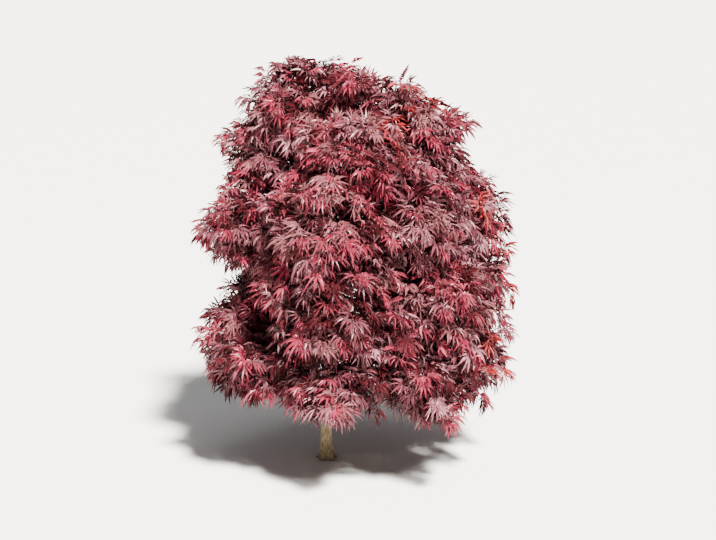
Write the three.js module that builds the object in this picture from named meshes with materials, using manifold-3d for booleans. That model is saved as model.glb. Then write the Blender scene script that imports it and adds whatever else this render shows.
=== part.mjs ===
// A dwarf Japanese maple about a metre tall, rooted in the ground: a short trunk with a root flare, five main
// boughs and their side boughs, and a dense domed crown of drooping, finely lobed purple-red leaves in pads.
// Millimetres, +Z up. The origin is the middle of the trunk's flat cut at ground level, and the front is -Y.
// Every limb is a tapering tube along a curve. Every pad of foliage is one solid: a stem that takes over from
// its bough 0.3 mm away, twigs that branch from the stem by a seeded rule, leaves on the twigs, and a smaller
// core that they stand out of. Each pad keeps to its own convex cell of the crown, so no two pads can touch.

import * as THREE from "three";
import { mergeVertices } from "three/addons/utils/BufferGeometryUtils.js";
import Module from "manifold-3d";

const wasm = await Module();
wasm.setup();

// ---------------------------------------------------------------- driving sizes

const GAP = 0.3; // left between two solids that meet
const CROWN_OFFSET = 62; // the crown's axis stands this far to the right of the trunk's foot
const FLATNESS = 1.35; // a pad is this much wider than it is tall

const TRUNK = { height: 176, footRadius: 14.5, topRadius: 12, sides: 12, steps: 9 };
const ROOT_FLARE = { share: 0.75, height: 26, ridges: 5, swell: 0.22 }; // it runs out in ridges
const TRUNK_BEND = new THREE.Vector3(-7, 0, 0.45 * TRUNK.height); // where the trunk bows a little to the left
const TRUNK_TOP = new THREE.Vector3(9, 0, TRUNK.height);

const MAIN_BOUGH = { baseRadius: 8.2, tipRadius: 3.6, sides: 7, steps: 8 };
const SIDE_BOUGH = { baseRadius: 5, tipRadius: 2.9, sides: 5, steps: 4 };
const ELBOW = { out: 72, up: 104 }; // from the trunk to the point that a main bough first heads for
const LOWEST_FORK = 92; // the height on the trunk where its lowest main bough leaves
const FORK_RISE = 16; // from each main bough to the next one up the trunk
const SIDE_BOUGH_RISE = 0.55; // how far a side bough climbs for each millimetre that it reaches outwards
const SIDE_BOUGH_SPACING = 22; // at least, between two side boughs where they leave their main bough

const CORE_SHARE = 0.76; // the core's half-width, as a share of its pad's
const CORE_TO_WALL = 0.86; // at most, of the way from the pad's middle to the wall of its cell
const CORE_POINTS = 7; // in which the skin of a core runs out all round, as the leaves of a dense pad do
const CORE_NOTCH = 0.2; // how far the skin is drawn in between two points
const CORE_POINT_DROP = 0.25; // how far a point hangs down, as a share of the core's half-width
const CORE_CLEAR = 10; // from a bough's tip to the pad's core
const TWIG = { baseRadius: 2.4, tipRadius: 1.6, sides: 3, reach: 20 }; // its reach is from the core's skin
const TWIG_TRIES = 40; // directions that a pad tries for its twigs
const SPREAD = { lift: 0.7549, turn: 0.5698 }; // steps that fill a square evenly, from however few tries
const LEAF_TRIES = 6; // ways of lying that each leaf tries
const LEAVES_WANTED = 9; // on each pad of the usual half-width
const USUAL_HALF_WIDTH = 130;

// A leaf lies in its own frame: X along its middle lobe, Z up out of its upper side.
// Its droop, notches and tail are shares of the length of that lobe.
const LEAF = { lobe: 90, thickness: 3.2, lobesEachSide: 2, lobeSpread: 42, droop: 0.3, notch: 0.26, tail: 0.34 };
const LEAF_SPACING = 7; // from the middle line of a leaf's lobe to a neighbour's, or to a twig
const LEAF_LIFT = { from: 10, to: 36 }; // degrees that a leaf stands off the slope of its pad
const END_LEAF = { before: 2, yaw: 0, size: 1 }; // how far before its twig's tip a leaf roots, and its turn
const SIDE_LEAF = { before: 7, yaw: 78, size: 0.9 };

// The pads of foliage, each seen from the crown's axis: bearing in degrees from the front, turning to the
// right; reach from the axis; height of the pad's middle; half its width. Those with stem: true end a main
// bough, and each of the others sits on a side bough of the main bough nearest to its bearing.
const PADS = {
  top_left: { bearing: -96, reach: 112, height: 905, halfWidth: 128, stem: true },
  top_right: { bearing: 84, reach: 66, height: 888, halfWidth: 122, leader: true },
  shoulder_right: { bearing: 84, reach: 190, height: 800, halfWidth: 114, stem: true },
  shoulder_left: { bearing: -112, reach: 196, height: 770, halfWidth: 118 },
  shoulder_front: { bearing: 4, reach: 160, height: 790, halfWidth: 130, stem: true },
  shoulder_back: { bearing: 196, reach: 160, height: 790, halfWidth: 126, stem: true },
  shoulder_back_right: { bearing: 140, reach: 180, height: 742, halfWidth: 120 },
  upper_left: { bearing: -78, reach: 248, height: 622, halfWidth: 134 },
  upper_front: { bearing: -18, reach: 226, height: 632, halfWidth: 136 },
  upper_front_right: { bearing: 40, reach: 222, height: 660, halfWidth: 134 },
  upper_right: { bearing: 94, reach: 250, height: 640, halfWidth: 128 },
  upper_back_right: { bearing: 146, reach: 238, height: 590, halfWidth: 132 },
  upper_back: { bearing: 196, reach: 240, height: 622, halfWidth: 134 },
  upper_back_left: { bearing: 240, reach: 228, height: 646, halfWidth: 126 },
  middle_front: { bearing: -10, reach: 246, height: 446, halfWidth: 136 },
  middle_front_right: { bearing: 50, reach: 254, height: 466, halfWidth: 132 },
  middle_right: { bearing: 102, reach: 262, height: 446, halfWidth: 128 },
  middle_back: { bearing: 160, reach: 250, height: 436, halfWidth: 134 },
  middle_back_left: { bearing: 218, reach: 238, height: 424, halfWidth: 122 },
  middle_left: { bearing: -88, reach: 214, height: 388, halfWidth: 108 },
  skirt_left: { bearing: -66, reach: 252, height: 274, halfWidth: 126 },
  skirt_front: { bearing: -10, reach: 222, height: 262, halfWidth: 128 },
  skirt_front_right: { bearing: 44, reach: 250, height: 272, halfWidth: 130 },
  skirt_right: { bearing: 94, reach: 262, height: 280, halfWidth: 126 },
  skirt_back_right: { bearing: 146, reach: 244, height: 262, halfWidth: 128 },
  skirt_back: { bearing: 200, reach: 240, height: 258, halfWidth: 130 },
  skirt_back_left: { bearing: 252, reach: 224, height: 252, halfWidth: 116 },
};

const BARK = new THREE.MeshStandardMaterial({ color: "#7a6a4c", roughness: 0.9, metalness: 0 });
const FOLIAGE = new THREE.MeshStandardMaterial({ color: "#7d2636", roughness: 0.5, metalness: 0 });

// ---------------------------------------------------------------- small helpers

const degrees = THREE.MathUtils.degToRad;
const lerp = THREE.MathUtils.lerp;
const UP = new THREE.Vector3(0, 0, 1);

const randomFrom = (seed) => {
  // Mulberry32: the same sequence of numbers from 0 to 1 for the same seed.
  let state = seed >>> 0;
  return () => {
    state = (state + 0x6d2b79f5) >>> 0;
    let mixed = Math.imul(state ^ (state >>> 15), 1 | state);
    mixed = (mixed + Math.imul(mixed ^ (mixed >>> 7), 61 | mixed)) ^ mixed;
    return ((mixed ^ (mixed >>> 14)) >>> 0) / 4294967296;
  };
};

// A closed geometry as a manifold-3d solid.
function solidOf(geometry) {
  const bare = new THREE.BufferGeometry().setAttribute("position", geometry.getAttribute("position"));
  bare.setIndex(geometry.getIndex());
  const merged = mergeVertices(bare, 1e-4);
  const vertProperties = merged.getAttribute("position").array;
  const triVerts = new Uint32Array(merged.getIndex().array);
  return new wasm.Manifold(new wasm.Mesh({ numProp: 3, vertProperties, triVerts }));
}

// The largest body of a solid: loose scraps are dropped, and a sealed hollow is filled.
function largestBody(solid) {
  return solid.decompose().reduce((best, body) => (body.volume() > best.volume() ? body : best));
}

function addMesh(group, name, solid, material) {
  const { vertProperties, triVerts, numProp } = solid.getMesh();
  const indexed = new THREE.BufferGeometry();
  const buffer = new THREE.InterleavedBuffer(vertProperties, numProp);
  indexed.setAttribute("position", new THREE.InterleavedBufferAttribute(buffer, 3, 0));
  indexed.setIndex(new THREE.BufferAttribute(triVerts, 1));
  const geometry = indexed.toNonIndexed();
  geometry.computeVertexNormals();
  const mesh = new THREE.Mesh(geometry, material);
  mesh.name = name;
  group.add(mesh);
}

// ---------------------------------------------------------------- limbs

// A tapering tube along a curve: a cylinder whose rows are moved to the curve's frames. radiusAt takes the
// share of the way along the curve and the angle round it.
function tube(curve, radiusAt, sides, steps) {
  const geometry = new THREE.CylinderGeometry(1, 1, 1, sides, steps);
  const position = geometry.getAttribute("position");
  const frames = curve.computeFrenetFrames(steps);
  const centres = curve.getSpacedPoints(steps);
  for (let i = 0; i < position.count; i += 1) {
    const row = Math.round((position.getY(i) + 0.5) * steps);
    const radius = radiusAt(row / steps, Math.atan2(position.getZ(i), position.getX(i)));
    const point = centres[row].clone();
    point.addScaledVector(frames.binormals[row], position.getX(i) * radius);
    point.addScaledVector(frames.normals[row], position.getZ(i) * radius);
    position.setXYZ(i, point.x, point.y, point.z);
  }
  return geometry;
}

// A limb: its curve, its radii, and the rule for how its solid looks when it is grown by some clearance.
class Limb {
  constructor(curve, { baseRadius, tipRadius, sides, steps }) {
    Object.assign(this, { curve, baseRadius, tipRadius, sides, steps });
    this.samples = curve.getSpacedPoints(48);
    this.forks = []; // the points where side boughs leave this limb
  }

  radiusAt(share) {
    return lerp(this.baseRadius, this.tipRadius, share);
  }

  solid(clearance = 0) {
    return solidOf(tube(this.curve, (share) => this.radiusAt(share) + clearance, this.sides, this.steps));
  }
}

// The trunk: bowed a little to the left, with a root flare that runs out in ridges.
class Trunk extends Limb {
  constructor() {
    const rise = new THREE.Vector3(0, 0, 0.2 * TRUNK.height);
    const curve = new THREE.CubicBezierCurve3(new THREE.Vector3(), rise, TRUNK_BEND, TRUNK_TOP);
    super(curve, { ...TRUNK, baseRadius: TRUNK.footRadius, tipRadius: TRUNK.topRadius });
  }

  solid(clearance = 0) {
    const radiusAt = (share, angle) => {
      const flare = ROOT_FLARE.share * Math.exp((-share * TRUNK.height) / ROOT_FLARE.height);
      const ridge = 1 + ROOT_FLARE.swell * Math.cos(ROOT_FLARE.ridges * angle) * flare;
      return this.radiusAt(share) * (1 + flare) * ridge + clearance;
    };
    return solidOf(tube(this.curve, radiusAt, this.sides, this.steps));
  }
}

// ---------------------------------------------------------------- the crown's cells

class Pad {
  constructor(name, index, size) {
    Object.assign(this, size, { name, index });
    const bearing = degrees(size.bearing);
    this.outwards = new THREE.Vector3(Math.sin(bearing), -Math.cos(bearing), 0);
    this.centre = this.outwards.clone().multiplyScalar(size.reach);
    this.centre.add(new THREE.Vector3(CROWN_OFFSET, 0, size.height));
  }

  // The pad's half-width along a direction: an ellipsoid FLATNESS times as wide as it is tall.
  widthAlong(direction) {
    return this.halfWidth / Math.hypot(direction.x, direction.y, FLATNESS * direction.z);
  }

  // The power distance from a point, in the crown stretched upwards by FLATNESS. It is least in the pad's cell.
  powerTo(point) {
    const { x, y, z } = point.clone().sub(this.centre);
    return x * x + y * y + FLATNESS * FLATNESS * z * z - this.halfWidth * this.halfWidth;
  }

  // How much closer a point is to this pad than to another, less what a clear gap between them needs. It
  // grows evenly away from the flat wall between the two cells, so each cell is convex.
  leadOver(other, point) {
    const apart = other.centre.clone().sub(this.centre);
    const span = Math.hypot(apart.x, apart.y, FLATNESS * apart.z);
    return other.powerTo(point) - this.powerTo(point) - 2 * span * FLATNESS * 2 * GAP;
  }

  holds(points) {
    return points.every((point) => pads.every((other) => other === this || this.leadOver(other, point) > 0));
  }

  // The distance from the pad's middle to the wall of its cell along a direction.
  wallAlong(direction) {
    const step = this.centre.clone().add(direction);
    const walls = pads.filter((other) => other !== this).map((other) => {
      const here = this.leadOver(other, this.centre);
      const slope = here - this.leadOver(other, step);
      return slope > 0 ? here / slope : Infinity;
    });
    return Math.min(...walls);
  }
}

const pads = Object.entries(PADS).map(([name, size], index) => new Pad(name, index, size));

// ---------------------------------------------------------------- boughs

// A bough along a curve: from its start, by way of an elbow, and in towards the middle of its pad from the side
// where another point lies. It ends short of the pad's core.
function boughTo(pad, start, elbow, past, size) {
  const inwards = past.clone().sub(pad.centre).normalize();
  const distance = CORE_SHARE * pad.widthAlong(inwards) + CORE_CLEAR;
  const tip = pad.centre.clone().addScaledVector(inwards, distance);
  const approach = tip.clone().addScaledVector(inwards, 0.35 * tip.distanceTo(elbow));
  return new Limb(new THREE.CubicBezierCurve3(start, elbow, approach, tip), size);
}

// A main bough leaves the trunk at a height, and climbs steeply before it arches out to its pad.
function mainBough(trunk, pad, leavesAt) {
  const start = trunk.curve.getPointAt(leavesAt / TRUNK.height);
  const elbow = start.clone().addScaledVector(UP, ELBOW.up);
  if (!pad.leader) elbow.addScaledVector(pad.outwards, ELBOW.out);
  const past = elbow.clone().lerp(pad.centre, 0.35).setZ(0.75 * pad.height);
  return boughTo(pad, start, elbow, past, MAIN_BOUGH);
}

// A side bough leaves its main bough below its pad, apart from the others, and climbs outwards to it.
function sideBough(parent, pad) {
  const wantedHeight = pad.height - SIDE_BOUGH_RISE * pad.reach;
  const free = parent.samples.slice(6, -8).filter((point) =>
    parent.forks.every((fork) => fork.distanceTo(point) > SIDE_BOUGH_SPACING));
  const start = free.reduce((best, point) =>
    Math.abs(point.z - wantedHeight) < Math.abs(best.z - wantedHeight) ? point : best);
  parent.forks.push(start);
  const elbow = start.clone().lerp(pad.centre, 0.35).setZ(lerp(start.z, pad.height, 0.45));
  return boughTo(pad, start, elbow, elbow, SIDE_BOUGH);
}

// ---------------------------------------------------------------- leaves and twigs

// The leaf's outline in its own plane: a tail that roots in the twig, and lobes with notches between them.
function leafOutline() {
  const { lobesEachSide: side, lobeSpread: spread, notch, tail } = LEAF;
  const corners = [{ angle: 180, radius: tail }, { angle: -(side * spread + 36), radius: 0.55 * notch }];
  for (let k = -side; k <= side; k += 1) {
    corners.push({ angle: k * spread, radius: 1 - 0.1 * k * k, drops: true });
    if (k < side) corners.push({ angle: (k + 0.5) * spread, radius: notch });
  }
  corners.push({ angle: side * spread + 36, radius: 0.55 * notch });
  return corners.map(({ angle, radius, drops }) => {
    const along = radius * Math.cos(degrees(angle));
    const across = radius * Math.sin(degrees(angle));
    return new THREE.Vector3(along, across, drops ? -LEAF.droop * radius * radius : 0);
  });
}

const LEAF_OUTLINE = leafOutline();

// Two fans of faces that share the outline, from one point above the middle of the blade and one below it.
function leafGeometry(scale, frame) {
  const half = LEAF.thickness / 2;
  const corners = LEAF_OUTLINE.map((corner) => corner.clone().multiplyScalar(LEAF.lobe * scale));
  const points = [...corners, new THREE.Vector3(0, 0, half), new THREE.Vector3(0, 0, -half)];
  const above = corners.length;
  const below = above + 1;
  const faces = corners.flatMap((_, i) => {
    const next = (i + 1) % corners.length;
    return [i, next, above, next, i, below];
  });
  return new THREE.BufferGeometry().setFromPoints(points).setIndex(faces).applyMatrix4(frame);
}

// The frame of a leaf whose tail roots at a point of a slope: it turns off the way down the slope by a yaw,
// lifts off the slope, and rolls.
function leafFrame(root, { out, down }, { yaw, lift, roll }, scale) {
  const level = down.clone().applyAxisAngle(out, yaw);
  const along = level.clone().multiplyScalar(Math.cos(lift)).addScaledVector(out, Math.sin(lift));
  const above = out.clone().multiplyScalar(Math.cos(lift)).addScaledVector(level, -Math.sin(lift));
  above.applyAxisAngle(along, roll);
  const across = above.clone().cross(along);
  const middle = root.clone().addScaledVector(along, LEAF.tail * LEAF.lobe * scale);
  return new THREE.Matrix4().makeBasis(along, across, above).setPosition(middle);
}

// True if a line of points stays its own width clear of every limb.
function clearOf(limbs, points, width) {
  return limbs.every((limb) => limb.samples.every((sample, i) => {
    const reach = limb.radiusAt(i / (limb.samples.length - 1)) + width + 4 * GAP;
    return points.slice(1).every((end, k) => {
      const segment = new THREE.Line3(points[k], end);
      return segment.closestPointToPoint(sample, true, new THREE.Vector3()).distanceTo(sample) > reach;
    });
  }));
}

// The distance from the pad's middle to the furthest points of its core along a direction: the core has the
// pad's shape, and is drawn in where the wall of the pad's cell is near.
function coreRadius(pad, direction) {
  return Math.min(CORE_SHARE * pad.widthAlong(direction), CORE_TO_WALL * pad.wallAlong(direction));
}

// The core: a faceted ball of the pad's shape, which runs out in points that hang down all round.
function coreOf(pad) {
  const geometry = new THREE.SphereGeometry(1, 2 * CORE_POINTS, 4).rotateX(Math.PI / 2);
  const position = geometry.getAttribute("position");
  for (let i = 0; i < position.count; i += 1) {
    const direction = new THREE.Vector3().fromBufferAttribute(position, i).normalize();
    const level = Math.hypot(direction.x, direction.y);
    const wave = Math.cos(CORE_POINTS * Math.atan2(direction.y, direction.x));
    direction.z -= CORE_POINT_DROP * level * level * wave;
    const radius = coreRadius(pad, direction.normalize()) * (1 - (CORE_NOTCH * level * (1 - wave)) / 2);
    const point = pad.centre.clone().addScaledVector(direction, radius);
    position.setXYZ(i, point.x, point.y, point.z);
  }
  return solidOf(geometry);
}

// The slope of a pad in a direction from its middle: the way out of it, and the way down along it.
function slopeOf(pad, direction) {
  const out = new THREE.Vector3(direction.x, direction.y, FLATNESS * FLATNESS * direction.z).normalize();
  const down = new THREE.Vector3(out.x, out.y, 0).add(pad.outwards).multiplyScalar(0.4).sub(UP);
  return { out, down: down.projectOnPlane(out).normalize() };
}

// The twigs of a pad: evenly spread over the side that faces out of the crown, with a jitter from the pad's
// own seed. Each is a line from the pad's middle to just outside its core, with the slope where it comes out.
function twigsOf(pad, random) {
  const facing = pad.outwards.clone().multiplyScalar(pad.reach / USUAL_HALF_WIDTH).add(UP).normalize();
  const turn = new THREE.Quaternion().setFromUnitVectors(UP, facing);
  return Array.from({ length: TWIG_TRIES }, (_, i) => {
    const lift = 1 - 1.4 * (((i + 0.5) * SPREAD.lift) % 1);
    const round = Math.sqrt(1 - lift * lift);
    const angle = 2 * Math.PI * (i * SPREAD.turn + 0.1 * random());
    const direction = new THREE.Vector3(round * Math.cos(angle), round * Math.sin(angle), lift);
    direction.applyQuaternion(turn).normalize();
    const tip = pad.centre.clone().addScaledVector(direction, coreRadius(pad, direction) + TWIG.reach);
    return { line: new THREE.Line3(pad.centre.clone(), tip), slope: slopeOf(pad, direction) };
  });
}

// One try at a leaf on a twig: its turn, lift, roll and size jitter about what its place asks for.
function leafOn(twig, place, random) {
  const scale = place.size * lerp(0.86, 1.08, random());
  const yaw = degrees(place.yaw + lerp(-24, 24, random()));
  const lift = degrees(lerp(LEAF_LIFT.from, LEAF_LIFT.to, random()));
  const roll = degrees(lerp(-20, 20, random()));
  const root = twig.line.at(1 - place.before / twig.line.distance(), new THREE.Vector3());
  return leafGeometry(scale, leafFrame(root, twig.slope, { yaw, lift, roll }, scale));
}

// The stem that takes over where the bough ends, and runs to the pad's middle.
function stemOf(pad, bough) {
  const start = bough.curve.getPointAt(1).addScaledVector(bough.curve.getTangentAt(1), GAP);
  const line = new THREE.LineCurve3(start, pad.centre);
  return solidOf(tube(line, () => SIDE_BOUGH.tipRadius, SIDE_BOUGH.sides, 1));
}

function leafPoints(geometry) {
  const position = geometry.getAttribute("position");
  const pointAt = (_, i) => new THREE.Vector3().fromBufferAttribute(position, i);
  return Array.from({ length: position.count }, pointAt);
}

// The lines along a leaf's lobes, from the middle of its blade to their tips.
function lobeLines(geometry) {
  const points = leafPoints(geometry);
  const middle = points[LEAF_OUTLINE.length];
  return LEAF_OUTLINE.flatMap((corner, i) => (corner.z < 0 ? [new THREE.Line3(middle, points[i])] : []));
}

const keepApart = (lines, others) =>
  lines.every((line) => others.every((other) => line.distanceSqToLine3(other) > LEAF_SPACING ** 2));

const outsideCore = (pad, point) => {
  const direction = point.clone().sub(pad.centre);
  return direction.length() > coreRadius(pad, direction.normalize()) + LEAF.thickness;
};

// A leaf fits if it stays in its pad's cell, and its lobes pass clear of every limb, of the core and of its
// neighbours.
function leafFits(geometry, pad, limbs, neighbours) {
  const lines = lobeLines(geometry);
  const clear = (line) => clearOf(limbs, [line.start, line.end], 0.1 * LEAF.lobe);
  const bare = (line) => [0, 0.5, 1].every((share) => outsideCore(pad, line.at(share, new THREE.Vector3())));
  const inside = pad.holds(leafPoints(geometry));
  return inside && lines.every(bare) && keepApart(lines, neighbours) && lines.every(clear);
}

// The leaves that fit on one twig: one that carries on from its tip, and a pair set back along it.
function leavesOn(twig, pad, limbs, neighbours, random) {
  const leaves = [];
  for (const place of [END_LEAF, SIDE_LEAF, { ...SIDE_LEAF, yaw: -SIDE_LEAF.yaw }]) {
    const near = [...neighbours, ...leaves.flatMap(lobeLines)];
    const tries = Array.from({ length: LEAF_TRIES }, () => leafOn(twig, place, random));
    leaves.push(...tries.filter((leaf) => leafFits(leaf, pad, limbs, near)).slice(0, 1));
  }
  return leaves;
}

// One pad of foliage: its core and stem, then twig after twig until it has the leaves that its size asks for.
function foliageOf(pad, bough, limbs) {
  const random = randomFrom(101 + pad.index);
  const wanted = Math.round(LEAVES_WANTED * (pad.halfWidth / USUAL_HALF_WIDTH) ** 2);
  const radiusAt = (share) => lerp(TWIG.baseRadius, TWIG.tipRadius, share);
  const pieces = [coreOf(pad), stemOf(pad, bough)];
  const neighbours = [];
  let count = 0;
  for (const twig of twigsOf(pad, random)) {
    const { start, end } = twig.line;
    const bare = new THREE.Line3(end.clone().lerp(start, 0.3), end);
    const free = keepApart([bare], neighbours) && clearOf(limbs, [bare.start, bare.end], TWIG.baseRadius);
    const leaves = free && count < wanted ? leavesOn(twig, pad, limbs, neighbours, random) : [];
    if (leaves.length < 2) continue;
    const stalk = tube(new THREE.LineCurve3(start, end), radiusAt, TWIG.sides, 1);
    pieces.push(...[stalk, ...leaves].map(solidOf));
    neighbours.push(bare, ...leaves.flatMap(lobeLines));
    count += leaves.length;
  }
  return largestBody(pieces.reduce((made, piece) => made.add(piece)));
}

// ---------------------------------------------------------------- the plant

const turnBetween = (a, b) => Math.abs(((a - b + 540) % 360) - 180);

function limbsOfPlant() {
  const trunk = new Trunk();
  const ends = pads.filter((pad) => pad.stem || pad.leader);
  const lowestFirst = ends.filter((pad) => pad.stem);
  const forkOf = (pad) => (pad.leader ? TRUNK.height : LOWEST_FORK + lowestFirst.indexOf(pad) * FORK_RISE);
  const mains = new Map(ends.map((pad) => [pad, mainBough(trunk, pad, forkOf(pad))]));
  const boughs = new Map(mains);
  const parents = new Map([...mains].map(([pad]) => [pad, trunk]));
  for (const pad of pads.filter((other) => !mains.has(other))) {
    const nearest = lowestFirst.reduce((best, end) =>
      turnBetween(end.bearing, pad.bearing) < turnBetween(best.bearing, pad.bearing) ? end : best);
    boughs.set(pad, sideBough(mains.get(nearest), pad));
    parents.set(pad, mains.get(nearest));
  }
  return { trunk, boughs, parents };
}

const plant = new THREE.Group();
const { trunk, boughs, parents } = limbsOfPlant();
const limbs = [trunk, ...boughs.values()];

addMesh(plant, "trunk", trunk.solid(), BARK);
for (const [pad, bough] of boughs) {
  const cut = bough.solid().subtract(parents.get(pad).solid(GAP));
  addMesh(plant, `bough_${pad.name}`, largestBody(cut), BARK);
}
for (const [pad, bough] of boughs) {
  addMesh(plant, `foliage_${pad.name}`, foliageOf(pad, bough, limbs), FOLIAGE);
}

export default plant;
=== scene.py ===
"""A dwarf Japanese maple about a metre tall, rooted in the ground, laid out as an add-on and run as a script.

The trunk and the boughs follow the same curves as the solid model, with furrowed bark. Each pad of the crown
grows on from its bough: twigs by the solid model's rule, shoots that arch from the twigs, and opposite pairs
of slender, drooping, seven-lobed leaves along every shoot. Metres, +Z up, front towards -Y.
"""

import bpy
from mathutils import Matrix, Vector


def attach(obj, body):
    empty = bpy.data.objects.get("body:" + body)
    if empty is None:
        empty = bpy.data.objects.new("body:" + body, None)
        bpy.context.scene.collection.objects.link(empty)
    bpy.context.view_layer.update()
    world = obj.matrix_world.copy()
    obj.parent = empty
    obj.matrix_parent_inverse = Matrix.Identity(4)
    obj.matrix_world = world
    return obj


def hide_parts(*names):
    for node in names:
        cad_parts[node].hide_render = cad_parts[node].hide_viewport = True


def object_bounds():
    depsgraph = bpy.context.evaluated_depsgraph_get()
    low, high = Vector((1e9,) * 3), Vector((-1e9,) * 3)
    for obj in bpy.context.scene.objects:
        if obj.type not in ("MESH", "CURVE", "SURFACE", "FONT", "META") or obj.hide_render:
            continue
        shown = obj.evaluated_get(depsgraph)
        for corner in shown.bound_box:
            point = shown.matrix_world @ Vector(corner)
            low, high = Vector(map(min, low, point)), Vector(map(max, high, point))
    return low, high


bl_info = {
    "name": "Dwarf Japanese maple",
    "version": (1, 0, 0),
    "blender": (4, 5, 0),
    "location": "3D View > Sidebar > Maple",
    "description": "Grows a dwarf Japanese maple: bark, twigs, shoots and drooping purple-red leaves",
    "category": "Add Mesh",
}

import bpy
import numpy as np
from bpy.props import FloatProperty, FloatVectorProperty, IntProperty, PointerProperty
from mathutils import Vector

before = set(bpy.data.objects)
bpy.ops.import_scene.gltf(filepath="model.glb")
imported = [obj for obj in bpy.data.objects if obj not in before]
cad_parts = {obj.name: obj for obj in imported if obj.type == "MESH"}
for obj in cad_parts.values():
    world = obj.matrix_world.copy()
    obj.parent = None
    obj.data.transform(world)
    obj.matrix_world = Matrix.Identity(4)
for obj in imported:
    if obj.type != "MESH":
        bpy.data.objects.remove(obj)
cad_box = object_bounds()

MM = 0.001
UP = np.array([0.0, 0.0, 1.0])

# The pads of foliage, each seen from the crown's axis: bearing in degrees from the front, turning to the
# right; reach from the axis, height of the pad's middle and half its width in millimetres.
PADS = {
    "top_left": (-96, 112, 905, 128),
    "top_right": (84, 66, 888, 122),
    "shoulder_right": (84, 190, 800, 114),
    "shoulder_left": (-112, 196, 770, 118),
    "shoulder_front": (4, 160, 790, 130),
    "shoulder_back": (196, 160, 790, 126),
    "shoulder_back_right": (140, 180, 742, 120),
    "upper_left": (-78, 248, 622, 134),
    "upper_front": (-18, 226, 632, 136),
    "upper_front_right": (40, 222, 660, 134),
    "upper_right": (94, 250, 640, 128),
    "upper_back_right": (146, 238, 590, 132),
    "upper_back": (196, 240, 622, 134),
    "upper_back_left": (240, 228, 646, 126),
    "middle_front": (-10, 246, 446, 136),
    "middle_front_right": (50, 254, 466, 132),
    "middle_right": (102, 262, 446, 128),
    "middle_back": (160, 250, 436, 134),
    "middle_back_left": (218, 238, 424, 122),
    "middle_left": (-88, 214, 388, 108),
    "skirt_left": (-66, 252, 274, 126),
    "skirt_front": (-10, 222, 262, 128),
    "skirt_front_right": (44, 250, 272, 130),
    "skirt_right": (94, 262, 280, 126),
    "skirt_back_right": (146, 244, 262, 128),
    "skirt_back": (200, 240, 258, 130),
    "skirt_back_left": (252, 224, 252, 116),
}
BOUGH_NODES = [f"bough_{name}" for name in PADS]
FOLIAGE_NODES = [f"foliage_{name}" for name in PADS]
LEADER = "top_right"  # the pad whose bough carries the trunk on, the fifth main one
STEM_ENDS = ("top_left", "shoulder_right", "shoulder_front", "shoulder_back")  # of the main boughs, upwards
USUAL_HALF_WIDTH = 0.130

CURVE_STEPS = 256  # chords that the length along a limb is measured by
TRUNK_BOW, TRUNK_LEAN = -0.007, 0.009  # how far aside the trunk heads for halfway up, and ends
TRUNK_SAMPLES, BOUGH_SAMPLES = 177, 49  # points at which boughs may leave the trunk, or a main bough
FORK_SAMPLES = slice(6, -8)  # of a main bough's, those that are clear of its ends
LOWEST_FORK, FORK_RISE = 0.092, 0.016  # heights on the trunk where the main boughs leave it
ELBOW_OUT, ELBOW_UP = 0.072, 0.104  # from its fork to the point that a main bough first heads for
PAST_OUT, PAST_UP = 0.35, 0.75  # the point that a main bough comes from, on the way out and up to its pad
SIDE_BOUGH_RISE, SIDE_BOUGH_SPACING = 0.55, 0.022  # how steeply side boughs climb, and how far apart
SIDE_ELBOW_OUT, SIDE_ELBOW_UP = 0.35, 0.45  # a side bough's elbow, on the way out and up to its pad
APPROACH = 0.35  # how far before its tip a bough comes into line with it, over the distance from the elbow
CORE_SHARE, CORE_CLEAR = 0.76, 0.010  # a bough's tip stands this far from the middle of its pad
MAIN_RADII, SIDE_RADII = (0.0082, 0.0036), (0.0050, 0.0029)  # of a bough at its fork and at its tip
STEM_TAPER = 0.6  # the radius in the middle of a pad, over that at the bough's tip
LIMB_STEPS, STEM_STEPS = 44, 14  # rows of a bough up to its tip, and from there to the middle of its pad

SKIN_STEPS = np.linspace(0.2, 1.5, 66)  # distances that are tried for the crown's skin, in half-widths
WALL_SHARE = 0.96  # the furthest that a shoot reaches towards the wall of its pad's cell
NO_WALL = 9.0  # the distance to the wall where none lies ahead
TINY = 1e-9  # stands in for nought where something is divided by it
NUDGE = 1e-6  # gives a shoot that climbs straight up a side too


# ---------------- colours


def linear(hex_colour):
    """An sRGB hex colour as linear red, green and blue: c / 12.92 up to 0.04045, and above that
    ((c + 0.055) / 1.055) ^ 2.4."""
    channels = np.array([int(hex_colour[i : i + 2], 16) / 255 for i in (1, 3, 5)])
    low, high = channels / 12.92, ((channels + 0.055) / 1.055) ** 2.4
    return tuple(float(c) for c in np.where(channels <= 0.04045, low, high))


def colour_property(name, hex_colour, description):
    """A colour, given in sRGB hex and kept as linear values."""
    return FloatVectorProperty(
        name=name, description=description, subtype="COLOR", size=3, min=0, max=1, default=linear(hex_colour)
    )


def length_property(name, default, description):
    """A length in metres."""
    return FloatProperty(
        name=name, description=description, default=default, min=0, unit="LENGTH", precision=4
    )


def share_property(name, default, description):
    """A length, height or number over another one, usually from 0 to 1."""
    return FloatProperty(
        name=name, description=description, default=default, min=0, subtype="FACTOR", soft_max=1
    )


# ---------------- settings


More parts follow.
